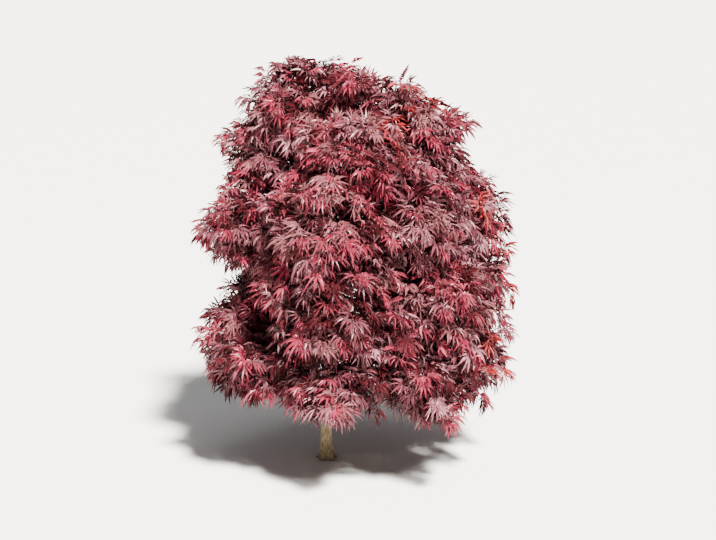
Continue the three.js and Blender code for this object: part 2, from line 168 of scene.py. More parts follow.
class MapleWood(bpy.types.PropertyGroup):
    trunk_height: length_property("Trunk height", 0.176, "From the ground to where the trunk forks for good")
    foot_radius: length_property("Foot radius", 0.0145, "The trunk's radius at the ground, without its flare")
    top_radius: length_property("Top radius", 0.0120, "The trunk's radius at its top")
    flare_share: share_property("Root flare", 0.75, "How much wider the trunk is at the ground for its flare")
    flare_height: length_property("Flare height", 0.026, "The height over which most of the flare dies out")
    furrow_depth: length_property("Furrow depth", 0.0019, "How deep the furrows in the trunk's bark are")
    ridge_colour: colour_property("Bark ridges", "#978665", "Dry olive brown of the raised bark")
    shade_colour: colour_property("Bark between", "#524632", "Darker olive brown that the ridges vary with")
    # Bark furrows: painted shade, the near-black brown laid into the bottoms of the furrows.
    furrow_shade_colour: colour_property("Bark furrows", "#1d1712", "Nearly black brown in the bottom of a furrow")
    lichen_colour: colour_property("Lichen", "#8a8a7c", "Pale grey green film on the older bark")
    twig_colour: colour_property("Twigs", "#54403a", "Grey purple brown of two-year wood")
    shoot_colour: colour_property("Shoots", "#6d2430", "Dark red skin of this year's shoots")


class MapleCrown(bpy.types.PropertyGroup):
    offset: length_property("Crown offset", 0.062, "How far the crown's axis stands right of the trunk")
    flatness: FloatProperty(name="Flatness", description="Pad width over pad height", default=1.35, min=1)
    twigs: IntProperty(name="Twigs", description="Twigs in a pad of the usual size", default=12, min=1)
    outer_spacing: length_property("Outer spacing", 0.0395, "Least distance between two outer shoots' tips")
    inner_spacing: length_property("Inner spacing", 0.043, "Least distance between two inner shoots' tips")
    inner_depth: share_property("Inner depth", 0.66, "An inner shoot's reach, over an outer one's")
    skin: share_property("Skin", 0.75, "Distance of the crown's skin from a pad's middle, in half-widths")
    push: share_property("Push", 0.10, "How much further shoots reach out of the crown than along it")
    hang: share_property("Hang", 0.04, "How far shoots sink on a pad's outer side, over their reach")
    tuck: share_property("Tuck", 0.12, "How much shorter a shoot is that points straight down")
    clearance: length_property("Clearance", 0.186, "How high above the ground the lowest shoots end")
    lean: share_property("Lean", 0.07, "How fast the crown's lower edge falls to the right")
    gap: length_property("Gap", 0.11, "How much higher the lower edge is in the gap right of the trunk")
    slope: share_property("Slope", 0.22, "How fast the crown's top falls to the right")
    crest: length_property("Crest", 0.026, "How much the crown rises towards its highest point")
    neck: share_property("Neck", 0.16, "How much narrower the crown is at its neck")
    sprigs: share_property("Sprigs", 0.10, "The share of shoots that stand out of the crown")
    sprig_reach: share_property("Sprig reach", 0.42, "How much further the longest sprig reaches")
    blend: FloatProperty(name="Blend", description="How far the skin dips between pads", default=2.2, min=1)
    shingle: share_property("Shingle", 0.20, "How far a spray's lower rim stands out over the next spray")
    arch: share_property("Arch", 0.30, "How far a shoot arches up, as a share of its length")


class MapleLeaves(bpy.types.PropertyGroup):
    lobe: length_property("Lobe", 0.042, "Length of a grown leaf's middle lobe")
    half_width: share_property("Lobe half-width", 0.067, "Half the widest width of a lobe, over Lobe")
    petiole: length_property("Leaf stalk", 0.018, "Length of a grown leaf's stalk")
    droop: share_property("Droop", 0.17, "How far a lobe's tip hangs below its leaf, over Lobe")
    dusky: colour_property("Dusky wine", "#4f2129", "The usual grown leaf")
    rose: colour_property("Muted rose", "#603237", "Grown leaves with a greyed bloom")
    # Deep wine is also laid on the inner leaves and on pairs further back on a shoot, there as painted shade.
    deep: colour_property("Deep wine", "#33090f", "The oldest leaves")
    garnet: colour_property("Garnet", "#601624", "Grown leaves that are still red")
    # Pale grey pink is a painted sheen: a lighter tint, dealt to some shoots, that stands in for the pink
    # bloom of light on waxy leaves.
    pale: colour_property("Pale grey pink", "#74474f", "Sun-bleached leaves")
    # Shade leaves: painted shade, the near-black tint for leaves in the dark inside of the crown.
    shade: colour_property("Shade leaves", "#1f0305", "Old leaves in the dark inside of the crown")
    crimson: colour_property("Young crimson", "#6a1127", "Leaves just out at the shoots' tips")
    scarlet: colour_property("Scarlet", "#6e0c10", "The youngest leaves, on thin sprigs")


class MapleStudio(bpy.types.PropertyGroup):
    floor_colour: colour_property("Floor", "#d2d0cc", "Matt pale floor")
    key_power: FloatProperty(name="Key light", description="Distant light, in W/m2", default=37, min=0)
    top_power: FloatProperty(
        name="Top light", description="Wide softbox overhead", default=34, min=0, unit="POWER"
    )
    ambient: FloatProperty(name="Ambient", description="Even light from all round", default=0.33, min=0)


# ---------------- vectors and curves


def unit(vectors):
    """Each vector over its own length."""
    return vectors / np.maximum(np.linalg.norm(vectors, axis=-1, keepdims=True), TINY)


def mix(a, b, share):
    """A point a share of the way from a to b."""
    return a + (b - a) * share


def across_plane(vectors, normals):
    """The part of each vector that lies in the plane across its unit normal, scaled to length one."""
    return unit(vectors - np.sum(vectors * normals, axis=-1, keepdims=True) * normals)


def bezier(control, shares):
    """A cubic curve: the four control points weighted by s^3, 3 s^2 t, 3 s t^2 and t^3, where s is 1 - t."""
    t = np.asarray(shares, float)[:, None]
    s = 1 - t
    return s**3 * control[0] + 3 * s * s * t * control[1] + 3 * s * t * t * control[2] + t**3 * control[3]


def even_points(control, count):
    """Points at equal steps of length along a cubic curve, read back from the summed lengths of chords."""
    fine = bezier(control, np.linspace(0, 1, CURVE_STEPS + 1))
    length = np.append(0, np.cumsum(np.linalg.norm(np.diff(fine, axis=0), axis=1)))
    wanted = np.linspace(0, length[-1], count)
    return np.stack([np.interp(wanted, length, fine[:, k]) for k in range(3)], axis=1)


def arches(starts, peaks, ends, rows):
    """Quadratic curves, all at once: s^2 start + 2 s t peak + t^2 end, for t at equal steps from 0 to 1."""
    t = np.linspace(0, 1, rows)[None, :, None]
    s = 1 - t
    return s * s * starts[:, None] + 2 * s * t * peaks[:, None] + t * t * ends[:, None]


# ---------------- the crown's cells


class Crown:
    """The pads of foliage as arrays. A pad's middle stands at its height, away from the crown's axis by its
    reach along (sin b, -cos b) for a bearing b."""

    def __init__(self, crown):
        rows = np.array(list(PADS.values()), float)
        bearing = np.radians(rows[:, 0])
        self.names = list(PADS)
        self.bearing = rows[:, 0]
        self.reach, self.height, self.half_width = rows[:, 1:].T * MM
        self.outwards = np.stack([np.sin(bearing), -np.cos(bearing), 0 * bearing], axis=1)
        self.centres = self.outwards * self.reach[:, None] + self.height[:, None] * UP
        self.centres[:, 0] += crown.offset
        self.stretch = np.array([1, 1, crown.flatness**2])

    def width_along(self, pad, directions):
        """A pad's half-width along unit directions: an ellipsoid, flatter than it is wide."""
        return self.half_width[pad] / np.sqrt((directions**2) @ self.stretch)

    def wall_along(self, pad, directions):
        """The distance to the wall of a pad's cell. The wall towards another pad is where the two stretched
        squared distances, less the squared half-widths, are equal; the nearest wall ahead counts."""
        apart = np.delete(self.centres - self.centres[pad], pad, axis=0)
        widths = np.delete(self.half_width, pad)
        lead = (apart**2) @ self.stretch - widths**2 + self.half_width[pad] ** 2
        slope = 2 * (directions * self.stretch) @ apart.T
        return np.where(slope > TINY, lead / np.maximum(slope, TINY), NO_WALL).min(axis=1)

    def skin_along(self, pad, directions, share, blend):
        """The distance to the crown's skin along unit directions, but no further than nearly the cell's wall.
        The skin is where the soft greatest of the pads' depths has fallen to 1 - share. A depth is 1 less the
        distance over the half-width, and the soft greatest is log(sum of e^(blend depth)) / blend."""
        steps = SKIN_STEPS * self.half_width[pad]
        points = self.centres[pad] + directions[:, None] * steps[:, None]
        apart = points[:, :, None] - self.centres
        depths = 1 - np.sqrt((apart**2) @ self.stretch) / self.half_width
        depth = np.log(np.exp(blend * depths).sum(axis=2)) / blend
        passed = np.cumprod(depth > 1 - share, axis=1).sum(axis=1)
        return np.minimum(steps[np.maximum(passed - 1, 0)], WALL_SHARE * self.wall_along(pad, directions))

    def facing(self, pad):
        """The way a pad faces: outwards in step with its reach, and up."""
        return unit(self.outwards[pad] * self.reach[pad] / USUAL_HALF_WIDTH + UP)


# ---------------- limbs


def trunk_curve(wood):
    """The trunk's control points: upright at the ground, bowed a little left, then leaning to the right."""
    h = wood.trunk_height
    return np.array([[0, 0, 0], [0, 0, 0.2 * h], [TRUNK_BOW, 0, 0.45 * h], [TRUNK_LEAN, 0, h]])


def bough_to(crown, pad, start, elbow, past):
    """A bough's control points: its start, an elbow, a point in line with its tip, and the tip. The tip is on
    the line from the pad's middle to the point past, just outside the dense middle of the pad."""
    inwards = unit(past - crown.centres[pad])
    distance = CORE_SHARE * crown.width_along(pad, inwards[None])[0] + CORE_CLEAR
    tip = crown.centres[pad] + inwards * distance
    approach = tip + inwards * APPROACH * np.linalg.norm(tip - elbow)
    return np.array([start, elbow, approach, tip])


def main_bough(crown, wood, pad):
    """Control points of a main bough. From its fork on the trunk it climbs to an elbow a set way up and out,
    and it comes to its tip from a point a share of the way from there to its pad."""
    name = crown.names[pad]
    leader = name == LEADER
    height = wood.trunk_height if leader else LOWEST_FORK + FORK_RISE * STEM_ENDS.index(name)
    trunk = even_points(trunk_curve(wood), TRUNK_SAMPLES)
    start = trunk[round(height / wood.trunk_height * (TRUNK_SAMPLES - 1))]
    elbow = start + UP * ELBOW_UP + (0 if leader else crown.outwards[pad] * ELBOW_OUT)
    past = mix(elbow, crown.centres[pad], PAST_OUT)
    past[2] = PAST_UP * crown.height[pad]
    return bough_to(crown, pad, start, elbow, past)


def side_bough(crown, pad, samples, forks):
    """Control points of a side bough: it leaves its main bough at the free point nearest the height below its
    pad that its reach asks for, and climbs outwards."""
    free = [p for p in samples if all(np.linalg.norm(f - p) > SIDE_BOUGH_SPACING for f in forks)]
    wanted = crown.height[pad] - SIDE_BOUGH_RISE * crown.reach[pad]
    start = min(free, key=lambda p: abs(p[2] - wanted))
    forks.append(start)
    elbow = mix(start, crown.centres[pad], SIDE_ELBOW_OUT)
    elbow[2] = mix(start[2], crown.height[pad], SIDE_ELBOW_UP)
    return bough_to(crown, pad, start, elbow, elbow)


def bough_curves(crown, wood):
    """Every bough's control points, by pad: five main boughs, and side boughs on the main bough nearest in
    bearing. Also which of them are main boughs."""
    mains = [crown.names.index(name) for name in (*STEM_ENDS, LEADER)]
    curves = {pad: main_bough(crown, wood, pad) for pad in mains}
    stems = sorted(mains[:-1])
    samples = {pad: even_points(curves[pad], BOUGH_SAMPLES)[FORK_SAMPLES] for pad in stems}
    forks = {pad: [] for pad in stems}
    for pad in range(len(crown.names)):
        if pad not in curves:
            turn = [abs((crown.bearing[s] - crown.bearing[pad] + 180) % 360 - 180) for s in stems]
            parent = stems[int(np.argmin(turn))]
            curves[pad] = side_bough(crown, pad, samples[parent], forks[parent])
    return curves, mains


# ---------------- tubes


ANY_WAY = np.array([0.31, 0.17, 0.93])  # a direction that no straight limb takes
LEAST_BEND = 1e-3  # a path that turns by less than this counts as straight
CAP = 0.5  # how far past its last ring a tube is closed by a point, in radii


def tube_frames(paths):
    """The way along each path at each row, and two unit vectors across it. Both come from the normal of the
    plane that the path bends in, so they never flip. The last lies in that plane, square to the path."""
    tangents = unit(np.gradient(paths, axis=1))
    bend = np.cross(tangents[:, 0], tangents[:, -1])
    spare = np.cross(tangents[:, 0], ANY_WAY)
    normal = unit(np.where(np.linalg.norm(bend, axis=1, keepdims=True) > LEAST_BEND, bend, spare))
    above = unit(np.cross(tangents, normal[:, None]))
    return tangents, np.cross(above, tangents), above


def tube_points(paths, radii, sides):
    """Rings of points: the path plus radius times (cos a, sin a) across it, closed by a point at either end.
    radii is given by path and row, or by path, row and side."""
    tangents, across, above = tube_frames(paths)
    angle = 2 * np.pi * np.arange(sides) / sides
    spokes = np.cos(angle)[:, None] * across[:, :, None] + np.sin(angle)[:, None] * above[:, :, None]
    radii = radii[..., None] if radii.ndim == 2 else radii
    rings = paths[:, :, None] + spokes * radii[..., None]
    ends = radii[:, [0, -1]].mean(axis=2)[..., None] * tangents[:, [0, -1]] * CAP
    foot, tip = paths[:, 0] - ends[:, 0], paths[:, -1] + ends[:, 1]
    return np.concatenate([rings.reshape(len(paths), -1, 3), foot[:, None], tip[:, None]], axis=1)


def grid_corners(rows, sides):
    """For each cell between two rings of points, its first corner and the next one along the same ring."""
    row, side = np.meshgrid(np.arange(rows - 1), np.arange(sides), indexing="ij")
    return (row * sides + side).ravel(), (row * sides + (side + 1) % sides).ravel()


def tube_faces(rows, sides):
    """Triangles of one tube: two for each cell of the grid of rows and sides, and a fan at either end."""
    a, b = grid_corners(rows, sides)
    walls = np.stack([a, b, b + sides, a, b + sides, a + sides], axis=1).reshape(-1, 3)
    ring = np.arange(sides)
    after = (ring + 1) % sides
    foot, tip = rows * sides, rows * sides + 1
    last = (rows - 1) * sides
    feet = np.stack([after, ring, np.full(sides, foot)], axis=1)
    tips = np.stack([last + ring, last + after, np.full(sides, tip)], axis=1)
    return np.concatenate([walls, feet, tips])


def repeat_faces(faces, points_each, count):
    """The same faces for each of many shapes, counted on from shape to shape."""
    return (faces[None] + points_each * np.arange(count)[:, None, None]).reshape(-1, 3)


# ---------------- pieces


def add_piece(name, points, faces, material, replaced, smooth=False, values=None):
    """A mesh of triangles from whole arrays, riding on the plant's one body. values are stored by point."""
    mesh = bpy.data.meshes.new(name)
    mesh.vertices.add(len(points))
    mesh.vertices.foreach_set("co", points.astype(np.float32).ravel())
    mesh.loops.add(faces.size)
    mesh.loops.foreach_set("vertex_index", faces.astype(np.int32).ravel())
    mesh.polygons.add(len(faces))
    mesh.polygons.foreach_set("loop_start", np.arange(0, faces.size, 3, dtype=np.int32))
    mesh.update(calc_edges=True)
    mesh.polygons.foreach_set("use_smooth", np.full(len(faces), smooth))
    for key, data in (values or {}).items():
        attribute = mesh.attributes.new(key, "FLOAT", "POINT")
        attribute.data.foreach_set("value", data.astype(np.float32).ravel())
    mesh.materials.append(material)
    piece = bpy.data.objects.new(name, mesh)
    bpy.context.scene.collection.objects.link(piece)
    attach(piece, "root")
    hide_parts(*replaced)


def add_tubes(name, paths, radii, sides, material, replaced, relief=None):
    """A piece of closed tubes, cut flat where they would pass under the ground. relief is stored by point,
    and the points that close the ends count as a ridge."""
    points = tube_points(paths, radii, sides)
    faces = repeat_faces(tube_faces(paths.shape[1], sides), points.shape[1], len(points))
    points = points.reshape(-1, 3)
    points[:, 2] = np.maximum(points[:, 2], 0)
    values = None
    if relief is not None:
        ends = np.ones((len(relief), 2))
        values = {"ridge": np.concatenate([relief.reshape(len(relief), -1), ends], axis=1)}
    add_piece(name, points, faces, material, replaced, smooth=True, values=values)


# ---------------- materials


def add_node(material, kind, links=(), **settings):
    """A node of a kind, with its settings, and links from (socket of another node) to (input name)."""
    node = material.node_tree.nodes.new(kind)
    for key, value in settings.items():
        if key in node.inputs:
            node.inputs[key].default_value = value
        else:
            setattr(node, key, value)
    for source, target in links:
        material.node_tree.links.new(source, node.inputs[target])
    return node


def new_material(name, settings):
    """A material, and its Principled shader with these constants on its own sockets."""
    material = bpy.data.materials.new(name)
    material.use_nodes = True
    shader = material.node_tree.nodes["Principled BSDF"]
    for key, value in settings.items():
        shader.inputs[key].default_value = value
    return material, shader


def bark_material(wood):
    """Weathered maple bark: dry ridges of olive brown that part into furrows darkened by painted shade, with
    a film of lichen. It scatters light evenly, so it has no shine, and its fine grain runs up the limb."""
    material, shader = new_material("weathered maple bark", {"Roughness": 0.88, "Specular IOR Level": 0.25})
    place = add_node(material, "ShaderNodeTexCoord").outputs["Object"]
    # Grain: streaks 2.4 mm wide and 19 mm long.
    drawn_out = add_node(material, "ShaderNodeMapping", [(place, "Vector")], Scale=(1, 1, 0.125))
    grain = add_node(
        material, "ShaderNodeTexNoise", [(drawn_out.outputs["Vector"], "Vector")],
        Scale=420, Detail=4, Roughness=0.6,
    ).outputs["Fac"]
    streak = add_node(
        material, "ShaderNodeMapRange", [(grain, "Value")], **{"From Min": 0.36, "From Max": 0.62}
    )
    tone = add_node(
        material, "ShaderNodeMix", [(streak.outputs["Result"], "Factor")],
        data_type="RGBA", A=(*wood.shade_colour, 1), B=(*wood.ridge_colour, 1),
    )
    # Lichen: blotches about 25 mm across, which cover up to 0.55 of the bark under them.
    blotch = add_node(material, "ShaderNodeTexNoise", [(place, "Vector")], Scale=40, Detail=3, Roughness=0.55)
    cover = add_node(
        material, "ShaderNodeMapRange", [(blotch.outputs["Fac"], "Value")],
        **{"From Min": 0.52, "From Max": 0.72, "To Max": 0.55},
    )
    film = add_node(
        material, "ShaderNodeMix", [(cover.outputs["Result"], "Factor"), (tone.outputs["Result"], "A")],
        data_type="RGBA", B=(*wood.lichen_colour, 1),
    )
    # Furrows: painted shade, a near-black brown laid in where the relief in the mesh is low.
    ridge = add_node(material, "ShaderNodeAttribute", attribute_name="ridge")
    furrow = add_node(
        material, "ShaderNodeMix", [(ridge.outputs["Fac"], "Factor"), (film.outputs["Result"], "B")],
        data_type="RGBA", A=(*wood.furrow_shade_colour, 1),
    )
    # The grain also stands up from the surface, by as much as 1 mm at full strength.
    bump = add_node(material, "ShaderNodeBump", [(grain, "Height")], Strength=0.7, Distance=0.0010)
    material.node_tree.links.new(furrow.outputs["Result"], shader.inputs["Base Color"])
    material.node_tree.links.new(bump.outputs["Normal"], shader.inputs["Normal"])
    return material


def skin_material(name, colour, roughness):
    """The smooth skin of young maple wood: even in colour, with the soft shine of a thin wax."""
    settings = {"Base Color": (*colour, 1), "Roughness": roughness, "Specular IOR Level": 0.5}
    return new_material(name, settings)[0]


def leaf_material(name, colour, roughness, wax):
    """A maple leaf: thin, with a smooth waxy upper side, so sky and softboxes lie on it as a pale bloom.
    Leaves in the shade carry less wax. The tint is even over a leaf and changes from shoot to shoot."""
    settings = {
        "Base Color": (*colour, 1),
        "Roughness": roughness,
        "Specular IOR Level": 0.6 * wax,
        "Specular Tint": (*linear("#ffdfe2"), 1),
        "Sheen Weight": 0.12 * wax,
        "Sheen Roughness": 0.4,
        "Sheen Tint": (*linear("#f3bfc6"), 1),
    }
    return new_material(name, settings)[0]


# ---------------- bark


TRUNK_SEED, TRUNK_FURROWS = 7, 14
BOUGH_SEED, BOUGH_FURROWS = 40, 6  # the first bough's seed; each next one's is one more
FLARE_RIDGES, RIDGE_SWELL = 5, 0.16
LUMP_HEIGHT = 0.0006
COLLAR_SWELL, COLLAR_HEIGHT = 0.4, 0.012  # where a bough leaves its parent
NODE_SWELL, NODE_SPACING, NODE_WIDTH = 0.12, 0.038, 0.003
BOUGH_RELIEF = 0.13  # the depth of a bough's furrows, over its radius


def ridged(wave, sharpness):
    """Turns a wave from -1 to 1 into broad ridges with narrow furrows: 1 - (1 - |wave|) to a power."""
    return 1 - (1 - np.abs(wave)) ** sharpness


def bark_relief(length, angle, seed, furrows):
    """The height of the bark from 0 in a furrow to 1 on a ridge, at a distance along a limb and an angle
    round it. A set of furrows wanders up the limb on slow waves, whose lengths over 2 pi are the divisors
    here, in metres. Each fades in and out along its way, and finer furrows and short cracks across the limb
    show where it has faded."""
    phase = np.random.default_rng(seed).uniform(0, 2 * np.pi, 8)
    wander = 0.9 * np.sin(length / 0.031 + phase[0] + 2 * angle)
    wander += 0.5 * np.sin(length / 0.012 + phase[1] - angle)
    wander += 0.3 * np.sin(length / 0.0056 + phase[2] + 3 * angle)
    deep = ridged(np.sin(furrows / 2 * angle + wander + phase[3]), 4)
    fine = ridged(np.sin((furrows / 2 + 3) * angle - 1.5 * wander + phase[4] + np.sin(length / 0.009)), 5)
    sway = 2.2 * np.sin(2 * angle + phase[5])
    cracks = ridged(np.sin(length / 0.0038 + sway + 2 * np.sin(angle + phase[6])), 7)
    patches = 0.7 * np.sin(length / 0.0145 + 3 * angle + phase[7])
    fade = np.clip(0.5 + patches * np.sin(length / 0.022 - 2 * angle + phase[0]), 0.15, 1)
    return (1 - fade * (1 - deep)) * (1 - 0.55 * (1 - fine) * (1.1 - fade)) * (1 - 0.3 * (1 - cracks))


def path_lengths(paths):
    """The distance along each path at each of its rows."""
    steps = np.linalg.norm(np.diff(paths, axis=1), axis=2)
    return np.concatenate([np.zeros((len(paths), 1)), np.cumsum(steps, axis=1)], axis=1)


def trunk_shape(wood, rows=150, sides=112):
    """The trunk: its radius falls evenly, times one plus a root flare that dies out by e in the flare height
    and runs out in five ridges, with the bark's relief and a few broad lumps on top."""
    path = even_points(trunk_curve(wood), rows)[None]
    height = path_lengths(path)[0][:, None]
    angle = (2 * np.pi * np.arange(sides) / sides)[None]
    flare = wood.flare_share * np.exp(-height / wood.flare_height)
    ridges = 1 + RIDGE_SWELL * np.cos(FLARE_RIDGES * angle) * flare
    radius = mix(wood.foot_radius, wood.top_radius, height / wood.trunk_height) * (1 + flare) * ridges
    # The lumps are waves 130, 80 and 190 mm long that wind round the trunk.
    lumps = np.sin(height / 0.021 + 2 * angle) + np.sin(height / 0.013 - 3 * angle + 1)
    lumps += np.sin(height / 0.03 + angle)
    relief = bark_relief(height, angle, TRUNK_SEED, TRUNK_FURROWS)
    radius = radius + LUMP_HEIGHT * lumps - wood.furrow_depth * (1 - relief)
    return path, radius[None], relief[None]


def bough_paths(crown, wood):
    """Each bough from its fork to its tip, and on to the middle of its pad, with its radius by row."""
    curves, mains = bough_curves(crown, wood)
    paths, radii = [], []
    for pad in range(len(crown.names)):
        base, tip = MAIN_RADII if pad in mains else SIDE_RADII
        limb = even_points(curves[pad], LIMB_STEPS)
        stem = np.linspace(limb[-1], crown.centres[pad], STEM_STEPS + 1)[1:]
        stem_radii = np.linspace(tip, STEM_TAPER * tip, STEM_STEPS + 1)[1:]
        paths.append(np.concatenate([limb, stem]))
        radii.append(np.concatenate([np.linspace(base, tip, LIMB_STEPS), stem_radii]))
    return np.array(paths), np.array(radii)


def bough_shapes(crown, wood, sides=20):
    """The boughs: their radii swell at the fork into a collar that dies out by e in its height, and at nodes
    as a bell curve, under a fine relief."""
    paths, radii = bough_paths(crown, wood)
    along = path_lengths(paths)[:, :, None]
    angle = (2 * np.pi * np.arange(sides) / sides)[None, None]
    seeds = range(BOUGH_SEED, BOUGH_SEED + len(paths))
    relief = np.stack([bark_relief(a, angle[0], s, BOUGH_FURROWS) for a, s in zip(along, seeds)])
    collar = 1 + COLLAR_SWELL * np.exp(-along / COLLAR_HEIGHT)
    off_node = ((along / NODE_SPACING) % 1 - 0.5) * NODE_SPACING / NODE_WIDTH
    node = 1 + NODE_SWELL * np.exp(-(off_node**2))
    radius = radii[:, :, None] * collar * node * (1 - BOUGH_RELIEF * (1 - relief))
    return paths, radius, relief


# ---------------- growth


# The crown's outline from the front. Heights and widths are in metres, bearings from the front to the right.
SKIRT_TOP, SKIRT_FADE = 0.42, 0.20  # below this height the crown leans, in full this much further down
GAP_BEARING, GAP_SPREAD = np.radians(12), np.radians(14)  # the gap in the lower edge, right of the trunk
CREST_FOOT, CREST_FADE = 0.87, 0.08  # above this height the top slopes, in full this much further up
CREST_PLACE, CREST_WIDTH = np.array([-0.02, -0.02]), 0.11  # the highest point from above, and its spread
NECK_HEIGHT, NECK_TILT, NECK_SPAN = 0.745, 0.15, 0.09  # the neck stands a little higher on the right
EDGE_SEED, EDGE_RANGE = 700, (-0.012, 0.022)  # how much lower and higher single sprays end

LIFT_STEP, TURN_STEP = 0.7549, 0.5698  # steps that fill a square evenly, from however few tries
TURN_JITTER = 0.1
SPRAY_SEED = 500  # the first pad's; each next one's is one more
TWIG_DEPTH, SHOOT_DEPTH = 1.4, 1.5  # how far round their pad's side they grow: 1 is half of it, and 2 is all
TWIG_REACH, TWIG_ARCH = 0.60, 0.18  # over the distance to the crown's skin, and over a twig's own length
TWIG_ROWS, SHOOT_ROWS = 9, 7
TRIES = 200  # directions that a pad tries for each layer of shoots
SHOOT_REACH, REACH_JITTER = 0.95, (-0.08, 0.06)  # over the distance to the crown's skin
SPRAY_WIDTH = 0.38  # from a spray's middle to its rim, in radians seen from the middle of its pad
RIM_OUTWARDS = 0.4  # how far outwards the lower rim lies, over how far down
SPRIG_RANGE = (0.2, 1)  # how far sprigs reach, over the longest
FOOT_TOP, FOOT_TURN, FOOT_JITTER, FOOT_LOW = 0.95, 0.9, 0.15, 0.3  # shares of a twig where shoots leave it
PEAK_SHARE, SIDE_JITTER = 0.55, 0.08  # where a shoot arches highest, and how far aside it is bent


def turned_from_up(vectors, facing):
    """Vectors turned by the shortest turn that takes straight up to facing. For an angle f round an axis a
    that is v cos f + (a x v) sin f + a (a . v)(1 - cos f)."""
    axis = np.cross(UP, facing)
    sine = np.linalg.norm(axis)
    axis = axis / max(sine, TINY)
    cosine = facing[2]
    turned = vectors * cosine + np.cross(axis, vectors) * sine
    return unit(turned + axis * (vectors @ axis)[:, None] * (1 - cosine))


def spread(count, facing, depth, random):
    """Directions spread evenly over the side of a pad that faces out: the lift steps through 1 to
    1 - depth, and the bearing steps round the circle."""
    i = np.arange(count)
    lift = 1 - depth * (((i + 0.5) * LIFT_STEP) % 1)
    angle = 2 * np.pi * (i * TURN_STEP + TURN_JITTER * random.random(count))
    level = np.sqrt(np.maximum(0, 1 - lift**2))
    return turned_from_up(np.stack([level * np.cos(angle), level * np.sin(angle), lift], axis=1), facing)


def thin_out(points, others, spacing):
    """Which points to keep so that each is the spacing away from the ones kept before it and from others."""
    kept, chosen = list(others), []
    for index, point in enumerate(points):
        if not kept or np.min(np.sum((np.array(kept) - point) ** 2, axis=1)) > spacing**2:
            kept.append(point)
            chosen.append(index)
    return np.array(chosen, int)


def follow_outline(tips, settings, gap, edge):
    """Moves the tips of shoots to the crown's outline. Low tips sink as the crown leans. None stays under the
    lower edge, which a bell curve over the bearing lifts in the gap. Near the top they rise by a bell curve
    round the crest, and sink in step with their distance to the right. Towards the neck's height they draw in
    to the crown's axis."""
    aside = tips[:, 0] - settings.offset
    fall = settings.lean * aside
    tips[:, 2] -= fall * np.clip((SKIRT_TOP - tips[:, 2]) / SKIRT_FADE, 0, 1)
    off_gap = (np.arctan2(aside, -tips[:, 1]) - GAP_BEARING) / GAP_SPREAD
    tips[:, 2] = np.maximum(tips[:, 2], settings.clearance - fall + edge + gap * np.exp(-(off_gap**2)))
    crest = settings.crest * np.exp(-np.sum((tips[:, :2] - CREST_PLACE) ** 2, axis=1) / CREST_WIDTH**2)
    rise = crest - settings.slope * np.maximum(aside, 0)
    tips[:, 2] += rise * np.clip((tips[:, 2] - CREST_FOOT) / CREST_FADE, 0, 1)
    off_neck = np.abs(tips[:, 2] - NECK_HEIGHT - NECK_TILT * aside) / NECK_SPAN
    tips[:, 0] -= settings.neck * aside * np.clip(1 - off_neck, 0, 1)


